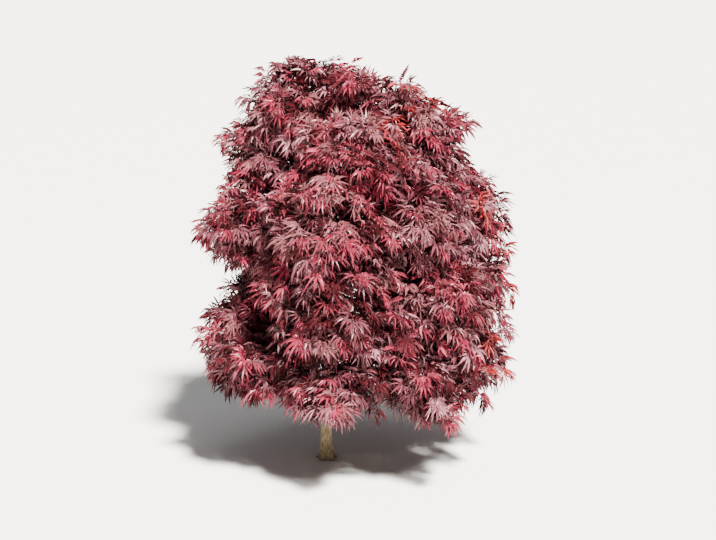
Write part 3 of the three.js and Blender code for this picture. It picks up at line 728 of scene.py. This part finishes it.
class Sprays:
    """One pad's twigs and shoots. A spray is a twig with the shoots that are nearest to its direction."""

    def __init__(self, crown, settings, pad, first_spray, stem, taken):
        random = np.random.default_rng(SPRAY_SEED + pad)
        size = (crown.half_width[pad] / USUAL_HALF_WIDTH) ** 2
        centre, facing, outwards = crown.centres[pad], crown.facing(pad), crown.outwards[pad]

        def room(directions):
            """The distance from the pad's middle to the crown's skin."""
            return crown.skin_along(pad, directions, settings.skin, settings.blend)

        # Twigs arch from the bough's run inside the pad, each part of the way to the skin.
        twig_ways = spread(round(settings.twigs * size), facing, TWIG_DEPTH, random)
        count = len(twig_ways)
        starts = stem[random.integers(len(stem) // 2, len(stem), count)]
        ends = centre + twig_ways * (TWIG_REACH * room(twig_ways))[:, None]
        rise = np.linalg.norm(ends - starts, axis=1)[:, None]
        self.twigs = arches(starts, mix(starts, ends, 0.5) + TWIG_ARCH * rise * UP, ends, TWIG_ROWS)

        # Shoots are found by their tips, in an outer and an inner layer. Those on a spray's lower rim reach
        # further, so that it lies over the next spray as a shingle does.
        rim = across_plane(-UP + RIM_OUTWARDS * outwards, twig_ways)
        edge = np.random.default_rng(EDGE_SEED + pad).uniform(*EDGE_RANGE, count)
        # Each layer's reach, the spacing of its tips, and how far the gap lifts them.
        kinds = ((1, settings.outer_spacing, settings.gap), (settings.inner_depth, settings.inner_spacing, 0))
        layers = []
        for layer, (depth, spacing, gap) in enumerate(kinds):
            ways = spread(TRIES, facing, SHOOT_DEPTH, random)
            near = ways @ twig_ways.T
            spray = np.argmax(near, axis=1)
            below = np.clip(np.sum((ways - twig_ways[spray]) * rim[spray], axis=1) / SPRAY_WIDTH, -1, 1)
            reach = SHOOT_REACH + settings.shingle * below + random.uniform(*REACH_JITTER, TRIES)
            length = room(ways) * reach * depth
            sprig = random.random(TRIES) < settings.sprigs
            length *= np.where(sprig, 1 + settings.sprig_reach * random.uniform(*SPRIG_RANGE, TRIES), 1)
            length *= 1 - settings.tuck * np.maximum(-ways[:, 2], 0)
            outer = np.maximum(ways @ outwards, 0)
            tips = centre + ways * (length * (1 + settings.push * outer))[:, None]
            tips -= (settings.hang * outer * length)[:, None] * UP
            follow_outline(tips, settings, gap, edge[spray])
            chosen = thin_out(tips, taken[layer], spacing)
            taken[layer].extend(tips[chosen])
            turn = np.arccos(np.clip(near.max(axis=1), -1, 1))
            parts = (ways, spray, tips, turn, np.full(TRIES, layer), sprig & (layer == 0))
            layers.append([values[chosen] for values in parts])
        ways, spray, tips, turn, layer, sprig = (np.concatenate(values) for values in zip(*layers))

        # A shoot leaves its twig the nearer to its foot, the further it turns away from the twig.
        jitter = random.uniform(0, FOOT_JITTER, len(ways))
        share = np.clip(FOOT_TOP - FOOT_TURN * turn - jitter, FOOT_LOW, FOOT_TOP)
        row = share * (TWIG_ROWS - 1)
        low = row.astype(int)
        feet = mix(self.twigs[spray, low], self.twigs[spray, low + 1], (row - low)[:, None])
        span = np.linalg.norm(tips - feet, axis=1)[:, None]
        sideways = random.normal(0, SIDE_JITTER, (len(ways), 3)) * span
        peaks = mix(feet, tips, PEAK_SHARE) + settings.arch * span * UP + sideways
        self.shoots = arches(feet, peaks, tips, SHOOT_ROWS)
        self.spray = first_spray + spray
        self.ways, self.layer, self.sprig, self.count = ways, layer, sprig, count


def grow(scene):
    """The whole plant's twigs and shoots, and for each shoot its spray, its direction, its layer, and whether
    it is a sprig, as arrays by name."""
    crown = Crown(scene.maple_crown)
    paths, _ = bough_paths(crown, scene.maple_wood)
    sprays, first, taken = [], 0, ([], [])
    for pad in range(len(crown.names)):
        sprays.append(Sprays(crown, scene.maple_crown, pad, first, paths[pad, LIMB_STEPS:], taken))
        first += sprays[-1].count
    keys = ("twigs", "shoots", "spray", "ways", "layer", "sprig")
    return {key: np.concatenate([getattr(s, key) for s in sprays]) for key in keys}


# ---------------- leaves


PLACE_SEED, SHAPE_SEED, TINT_SEED = 900, 901, 902

PAIR_SETBACKS = np.array([0.001, 0.007, 0.017, 0.030, 0.046])  # from a shoot's tip to its pairs of leaves
PAIR_SIZES = np.array([0.64, 0.84, 0.98, 1.0, 0.96])
PAIR_SPLAY = np.radians([32, 52, 68, 76, 80])  # between the shoot and a leaf stalk
PAIR_ROLL = np.radians([15, 75, 5, 62, 12])  # each pair is turned well round from the one before it
BARE_FOOT = 0.12  # the share of a shoot at its foot that bears no leaves
# How leaves vary about their pair's values: the roll by this deviation, the rest between these factors.
ROLL_JITTER, SPLAY_RANGE, SIZE_RANGE, STALK_RANGE = 0.35, (0.75, 1.25), (0.84, 1.12), (0.6, 1.25)
OUTWARDS, HANG_RANGE = 0.30, (-0.05, 0.60)  # how far a blade turns outwards and down, over its stalk's part
LIGHT_UP, LIGHT_OUT, LIGHT_JITTER = 0.8, 0.6, 0.32  # what the way that upper sides face is made of

LOBE_ANGLES = np.radians([-106, -68, -33, 0, 33, 68, 106])
LOBE_LENGTHS = np.array([0.48, 0.78, 0.95, 1.0, 0.95, 0.78, 0.48])
LOBES = len(LOBE_ANGLES)
# Six points of a lobe: one on its midrib, one at its tip, and two on either margin.
LOBE_ALONG = np.array([0.46, 1.0, 0.36, 0.70, 0.36, 0.70])
LOBE_ACROSS = np.array([0, 0, 1, 0.64, -1, -0.64])
LOBE_POINTS = len(LOBE_ALONG)
LOBE_FOLD = 1.10  # how steeply the halves of a lobe rise from its midrib
LOBE_SWEEP = 0.16  # the share of its angle that a lobe turns forward from its root to its tip
ANGLE_JITTER, LENGTH_RANGE, WIDTH_RANGE = 0.09, (0.86, 1.12), (0.75, 1.3)
ARCH_RANGE, LOBE_ROLL, LEAF_DROOP, LOBE_DROOP = (0, 0.14), 0.70, (0.6, 1.4), (0.8, 1.2)
STALK_FOOT, STALK_HEAD = 0.00055, 0.00040  # radii of a leaf stalk


def leaf_faces():
    """Triangles of one leaf. Six to a lobe: on either side of the midrib, one to the widest place, one along
    the margin and one to the tip. Then six on the three sides of the stalk. Point 0 is the blade's middle,
    and the stalk's points come last."""
    middle, rib, tip, left1, left2, right1, right2 = range(7)
    left = [(middle, rib, left1), (left1, rib, left2), (left2, rib, tip)]
    right = [(middle, right1, rib), (right1, right2, rib), (right2, tip, rib)]
    lobe = np.array(left + right)
    step = LOBE_POINTS * np.arange(LOBES)[:, None, None]
    lobes = np.where(lobe[None] > 0, lobe[None] + step, 0).reshape(-1, 3)
    first = 1 + LOBE_POINTS * LOBES
    side = np.arange(3)
    after = (side + 1) % 3
    stalk = np.concatenate([np.stack([side, after, after + 3], 1), np.stack([side, after + 3, side + 3], 1)])
    return np.concatenate([lobes, first + stalk])


def leaf_places(grown, sizes):
    """Where each leaf grows and how it lies, as arrays over all leaves.

    On each shoot, pairs of leaves stand back from the tip. The stalk leaves the shoot at its pair's splay,
    turned round the shoot by its pair's roll. The blade then turns outwards and down, and its upper side to
    the light."""
    random = np.random.default_rng(PLACE_SEED)
    shoots = grown["shoots"]
    rows = shoots.shape[1]
    length = path_lengths(shoots)[:, -1]
    share = 1 - PAIR_SETBACKS[None] / length[:, None]  # shoots by pairs
    shoot, pair = np.nonzero(share > BARE_FOOT)
    shoot, pair = np.repeat(shoot, 2), np.repeat(pair, 2)
    hand = np.tile([1.0, -1.0], len(shoot) // 2)
    n = len(shoot)
    row = share[shoot, pair] * (rows - 1)
    low = np.minimum(row.astype(int), rows - 2)
    root = mix(shoots[shoot, low], shoots[shoot, low + 1], (row - low)[:, None])
    along = unit(shoots[shoot, low + 1] - shoots[shoot, low])
    out = grown["ways"][shoot]
    side = unit(np.cross(along, UP) + NUDGE)
    above = np.cross(side, along)
    roll = PAIR_ROLL[pair] + random.normal(0, ROLL_JITTER, n) + np.where(hand > 0, 0, np.pi)
    splay = PAIR_SPLAY[pair] * random.uniform(*SPLAY_RANGE, n)
    spoke = np.cos(roll)[:, None] * side + np.sin(roll)[:, None] * above
    stalk = unit(np.cos(splay)[:, None] * along + np.sin(splay)[:, None] * spoke)
    size = PAIR_SIZES[pair] * random.uniform(*SIZE_RANGE, n)
    reach = sizes.petiole * size * random.uniform(*STALK_RANGE, n)
    base = root + stalk * reach[:, None]
    hang = random.uniform(*HANG_RANGE, n)[:, None]
    ahead = unit(stalk + OUTWARDS * out - hang * UP)
    light = unit(LIGHT_UP * UP + LIGHT_OUT * out + random.normal(0, LIGHT_JITTER, (n, 3)))
    normal = across_plane(light, ahead)
    return {
        "shoot": shoot, "pair": pair, "size": size,
        "root": root, "base": base, "ahead": ahead, "normal": normal,
    }


def leaf_points(place, sizes):
    """All leaves' points. In a leaf's own plane a lobe's point stands at its share of the lobe's length along
    the lobe, which sweeps forward a little, and at its share of the half-width across it, which goes with the
    square root of the length. Margins rise from the midrib, which arches by half a sine wave, and each lobe
    is rolled a little to one side. In the world every point then sinks by droop times the square of its
    distance from the stalk."""
    random = np.random.default_rng(SHAPE_SEED)
    n = len(place["size"])
    angle = LOBE_ANGLES + random.normal(0, ANGLE_JITTER, (n, LOBES))
    length = LOBE_LENGTHS * random.uniform(*LENGTH_RANGE, (n, LOBES))
    bend = angle[:, :, None] * (1 - LOBE_SWEEP * LOBE_ALONG)
    reach = length[:, :, None] * LOBE_ALONG
    half_width = sizes.half_width * random.uniform(*WIDTH_RANGE, (n, 1, 1)) * np.sqrt(length)[:, :, None]
    width = half_width * LOBE_ACROSS
    x = reach * np.cos(bend) - width * np.sin(bend)
    y = reach * np.sin(bend) + width * np.cos(bend)
    arch = random.uniform(*ARCH_RANGE, (n, LOBES, 1)) * np.sin(np.pi * LOBE_ALONG)
    roll = random.normal(0, LOBE_ROLL, (n, LOBES, 1))
    z = LOBE_FOLD * np.abs(width) + roll * width + arch
    droop = sizes.droop * random.uniform(*LEAF_DROOP, (n, 1, 1)) * random.uniform(*LOBE_DROOP, (n, LOBES, 1))
    sink = droop * reach**2
    ahead, normal = place["ahead"], place["normal"]
    across = np.cross(normal, ahead)
    scale = (sizes.lobe * place["size"])[:, None, None, None]
    blade = (
        x[..., None] * ahead[:, None, None] + y[..., None] * across[:, None, None]
        + z[..., None] * normal[:, None, None] - sink[..., None] * UP
    ) * scale + place["base"][:, None, None]
    corner = 2 * np.pi * np.arange(3) / 3
    spoke = np.cos(corner)[:, None] * across[:, None] + np.sin(corner)[:, None] * normal[:, None]
    foot = place["root"][:, None] + STALK_FOOT * spoke
    head = place["base"][:, None] + STALK_HEAD * spoke
    return np.concatenate([place["base"][:, None], blade.reshape(n, -1, 3), foot, head], axis=1)


GROWN_TINTS = ("dusky", "rose", "deep", "garnet", "pale", "shade")
# The inner layer is tinted mostly deep and shade: painted shade for the crown's dark inside.
GROWN_SHARES = ((0.34, 0.27, 0.13, 0.19, 0.07, 0), (0.05, 0, 0.35, 0, 0, 0.60))  # outer and inner layer
SPRAY_SHARES = (0.38, 0.28, 0.14, 0.20)  # of the first four tints, over whole sprays
OWN_SPRAY = 0.35  # the share of outer shoots that take their spray's tint
YOUNG_TINTS = ("crimson", "scarlet")
YOUNG_SHOOTS, YOUNG_SECOND, YOUNG_SPRIG = 0.35, 0.15, 0.45
SCARLET_SPRIGS = 0.6
# Scarlet sprigs grow right of a place above a height, and right of the edge at any height, in metres.
SUNNY_HEIGHT, SUNNY_SIDE, SUNNY_EDGE = 0.80, 0.10, 0.33
# Pairs further back on a shoot, behind and under the leaves at its tip, are darkened: partly older leaves,
# partly painted shade.
PAIR_AGED_AND_SHADED = np.array([0, 0.04, 0.12, 0.32, 0.55])  # the share of a pair's leaves that have darkened
DARKENED_DEEP = 0.5
LEAVES_IN_A_PIECE = 4100  # of 48 triangles each, so that a piece stays under 200,000


def leaf_tints(place, grown):
    """Which tint each leaf has. The grown leaves of a shoot share one tint, which it often takes from its
    spray. Older pairs further back on a shoot, under the leaves at its tip, are darkened to deep or shade:
    partly their age, partly painted shade. The inner layer's mostly deep and shade tints are painted shade.
    The first pair of a young outer shoot is crimson, now and then the second too, and so are many leaves of
    a sprig. At the upper right and the right edge most sprigs have scarlet ones instead."""
    random = np.random.default_rng(TINT_SEED)
    shoot, pair, base = place["shoot"], place["pair"], place["base"]
    sprays, shoots = grown["spray"][shoot].max() + 1, len(grown["shoots"])
    outer_tint = random.choice(len(GROWN_TINTS), shoots, p=GROWN_SHARES[0])
    spray_tint = random.choice(len(SPRAY_SHARES), sprays, p=SPRAY_SHARES)
    outer_tint = np.where(random.random(shoots) < OWN_SPRAY, spray_tint[grown["spray"]], outer_tint)
    # Inner shoots take mostly deep and shade tints, a painted shade.
    inner_tint = random.choice(len(GROWN_TINTS), shoots, p=GROWN_SHARES[1])
    grown_tint = np.where(grown["layer"] == 0, outer_tint, inner_tint)
    young_shoot = (random.random(shoots) < YOUNG_SHOOTS) & (grown["layer"] == 0)
    young = young_shoot[shoot] & (pair == 0)
    young |= (random.random(len(young)) < YOUNG_SECOND) & (pair == 1) & young_shoot[shoot]
    young |= grown["sprig"][shoot] & (random.random(len(young)) < YOUNG_SPRIG)
    sunny = ((base[:, 2] > SUNNY_HEIGHT) & (base[:, 0] > SUNNY_SIDE)) | (base[:, 0] > SUNNY_EDGE)
    scarlet_shoot = grown["sprig"] & (random.random(shoots) < SCARLET_SPRIGS)
    fresh = len(GROWN_TINTS) + (scarlet_shoot[shoot] & sunny)
    deep, shade = GROWN_TINTS.index("deep"), GROWN_TINTS.index("shade")
    # Darkened pairs take deep or shade, partly for their age and partly as painted shade.
    old = np.where(random.random(len(young)) < DARKENED_DEEP, deep, shade)
    aged_and_shaded = random.random(len(young)) < PAIR_AGED_AND_SHADED[pair]
    tint = np.where(young, fresh, np.where(aged_and_shaded, old, grown_tint[shoot]))
    return np.array([*GROWN_TINTS, *YOUNG_TINTS])[tint]


# ---------------- operators


class MAPLE_OT_trunk(bpy.types.Operator):
    """Add the trunk with its furrowed bark and root flare"""

    bl_idname = "maple.trunk"
    bl_label = "Trunk"

    def execute(self, context):
        wood = context.scene.maple_wood
        path, radius, relief = trunk_shape(wood)
        add_tubes("trunk_bark", path, radius, radius.shape[2], bark_material(wood), ["trunk"], relief)
        return {"FINISHED"}


class MAPLE_OT_boughs(bpy.types.Operator):
    """Add the main boughs and side boughs, each run on to the middle of its pad"""

    bl_idname = "maple.boughs"
    bl_label = "Boughs"

    def execute(self, context):
        crown, wood = Crown(context.scene.maple_crown), context.scene.maple_wood
        paths, radius, relief = bough_shapes(crown, wood)
        add_tubes("bough_bark", paths, radius, radius.shape[2], bark_material(wood), BOUGH_NODES, relief)
        return {"FINISHED"}


class MAPLE_OT_twigs(bpy.types.Operator):
    """Add the woody twigs and this year's shoots"""

    bl_idname = "maple.twigs"
    bl_label = "Twigs and shoots"

    def execute(self, context):
        scene = context.scene
        grown, wood = grow(scene), scene.maple_wood
        old = skin_material("two-year maple wood", wood.twig_colour, roughness=0.65)
        new = skin_material("young maple shoot", wood.shoot_colour, roughness=0.45)
        kinds = (  # a piece's name and paths, its radii at foot and tip, its sides and its material
            ("woody_twigs", grown["twigs"], (0.0019, 0.0010), 5, old),
            ("young_shoots", grown["shoots"], (0.0010, 0.0005), 3, new),
        )
        for name, paths, ends, sides, material in kinds:
            radii = np.broadcast_to(np.linspace(*ends, paths.shape[1]), paths.shape[:2])
            add_tubes(name, paths, radii, sides, material, FOLIAGE_NODES)
        return {"FINISHED"}


class MAPLE_OT_leaves(bpy.types.Operator):
    """Add the leaves, one piece or more for each tint"""

    bl_idname = "maple.leaves"
    bl_label = "Leaves"

    def execute(self, context):
        scene = context.scene
        grown, sizes = grow(scene), scene.maple_leaves
        place = leaf_places(grown, sizes)
        points = leaf_points(place, sizes)
        # A leaf that would pass the box of the solid model is left out.
        low, high = (np.array(corner) for corner in cad_box)
        inside = np.all((points > low) & (points < high), axis=(1, 2))
        tints = leaf_tints(place, grown)
        faces = leaf_faces()
        for tint in (*GROWN_TINTS, *YOUNG_TINTS):
            roughness = 0.42 if tint in YOUNG_TINTS else 0.45
            wax = 0.35 if tint in ("deep", "shade") else 1
            material = leaf_material(f"maple leaf, {tint}", getattr(sizes, tint), roughness, wax)
            chosen = points[inside & (tints == tint)]
            if not len(chosen):
                raise RuntimeError(f"no leaf is {tint}")
            pieces = np.array_split(chosen, -(-len(chosen) // LEAVES_IN_A_PIECE))
            for number, part in enumerate(pieces, 1):
                name, every = f"leaves_{tint}_{number}", repeat_faces(faces, part.shape[1], len(part))
                add_piece(name, part.reshape(-1, 3), every, material, FOLIAGE_NODES)
        return {"FINISHED"}


CROWN_MIDDLE = (0.08, 0, 0.5)
KEY_PLACE, KEY_ANGLE = (1.3, -2.6, 4.2), np.radians(8)
SOFTBOX_PLACE, SOFTBOX_SIZE = (-0.2, 0.4, 4.2), 2.2
FLOOR_DROP = 0.0005  # the floor lies just under the cut foot
CAMERA_TARGET, CAMERA_DISTANCE, CAMERA_TILT = (0.080, 0, 0.494), 3.3, np.radians(12)
SENSOR_WIDTH, LENS = 36, 66.4  # in mm


class MAPLE_OT_stage(bpy.types.Operator):
    """Add the pale floor, the lights and the camera"""

    bl_idname = "maple.stage"
    bl_label = "Stage"

    def execute(self, context):
        scene = context.scene
        studio = scene.maple_studio
        floor = self.add_floor(scene, studio)
        lights = [
            self.add_light(scene, "key_light", "SUN", KEY_PLACE, studio.key_power, linear("#fffcf7")),
            self.add_light(scene, "top_softbox", "AREA", SOFTBOX_PLACE, studio.top_power, linear("#f9fdff")),
        ]
        camera = self.add_camera(scene)
        world = bpy.data.worlds.new("studio air")
        world.use_nodes = True
        background = world.node_tree.nodes["Background"]
        background.inputs["Color"].default_value = (*linear("#f7f9ff"), 1)
        background.inputs["Strength"].default_value = studio.ambient
        scene.world = world
        return {"FINISHED"}

    @staticmethod
    def add_floor(scene, studio):
        """A round flat floor: rings whose radii each grow by the same factor, round one middle point."""
        radii, sides = 10.0 ** np.arange(0, 3.01, 0.5), 96
        side = np.arange(sides)
        after = (side + 1) % sides
        angle = 2 * np.pi * side / sides
        ring = np.stack([np.cos(angle), np.sin(angle), 0 * angle], axis=1)
        points = np.concatenate([(radii[:, None, None] * ring).reshape(-1, 3), np.zeros((1, 3))])
        a, b = grid_corners(len(radii), sides)
        rings = np.stack([a, b + sides, b, a, a + sides, b + sides], axis=1).reshape(-1, 3)
        middle = np.stack([side, after, np.full(sides, len(points) - 1)], axis=1)
        mesh = bpy.data.meshes.new("studio_floor")
        mesh.from_pydata(points.tolist(), [], np.concatenate([rings, middle]).tolist())
        mesh.polygons.foreach_set("use_smooth", np.ones(len(mesh.polygons), bool))
        paint = {"Base Color": (*studio.floor_colour, 1), "Roughness": 0.9, "Specular IOR Level": 0.1}
        mesh.materials.append(new_material("matt painted floor", paint)[0])
        floor = bpy.data.objects.new("studio_floor", mesh)
        floor.location.z = -FLOOR_DROP
        scene.collection.objects.link(floor)
        return floor

    @staticmethod
    def aim(scene, name, data, place, target):
        """A light or camera at a place, turned so that it looks along the line from there to a target."""
        thing = bpy.data.objects.new(name, data)
        thing.location = place
        thing.rotation_euler = (Vector(target) - Vector(place)).to_track_quat("-Z", "Y").to_euler()
        scene.collection.objects.link(thing)
        return thing

    def add_light(self, scene, name, kind, place, power, colour):
        """A light that looks at the middle of the crown: a square softbox, or a distant one."""
        data = bpy.data.lights.new(name, kind)
        data.energy, data.color = power, colour
        if kind == "SUN":
            data.angle = KEY_ANGLE
        else:
            data.size = SOFTBOX_SIZE
        return self.aim(scene, name, data, place, CROWN_MIDDLE)

    def add_camera(self, scene):
        """A camera in front of the plant that looks down a little."""
        data = bpy.data.cameras.new("camera")
        data.sensor_width, data.lens = SENSOR_WIDTH, LENS
        back = Vector((0, -np.cos(CAMERA_TILT), np.sin(CAMERA_TILT)))
        place = Vector(CAMERA_TARGET) + CAMERA_DISTANCE * back
        scene.camera = self.aim(scene, "camera", data, place, CAMERA_TARGET)
        return scene.camera


class MAPLE_PT_panel(bpy.types.Panel):
    """Lists the maple's pieces and their settings"""

    bl_idname = "MAPLE_PT_panel"
    bl_label = "Dwarf Japanese maple"
    bl_space_type = "VIEW_3D"
    bl_region_type = "UI"
    bl_category = "Maple"

    def draw(self, context):
        for operator in OPERATORS:
            self.layout.operator(operator.bl_idname)
        for key in SETTINGS:
            group = getattr(context.scene, key)
            box = self.layout.box()
            for name in group.__annotations__:
                box.prop(group, name)


OPERATORS = (MAPLE_OT_trunk, MAPLE_OT_boughs, MAPLE_OT_twigs, MAPLE_OT_leaves, MAPLE_OT_stage)
SETTINGS = {
    "maple_wood": MapleWood,
    "maple_crown": MapleCrown,
    "maple_leaves": MapleLeaves,
    "maple_studio": MapleStudio,
}


def register():
    for cls in (*SETTINGS.values(), *OPERATORS, MAPLE_PT_panel):
        bpy.utils.register_class(cls)
    for key, group in SETTINGS.items():
        setattr(bpy.types.Scene, key, PointerProperty(type=group))


def unregister():
    for key in SETTINGS:
        delattr(bpy.types.Scene, key)
    for cls in (MAPLE_PT_panel, *reversed(OPERATORS), *reversed(SETTINGS.values())):
        bpy.utils.unregister_class(cls)


def main():
    register()
    for operator in ("trunk", "boughs", "twigs", "leaves", "stage"):
        getattr(bpy.ops.maple, operator)()


if __name__ == "__main__":
    main()
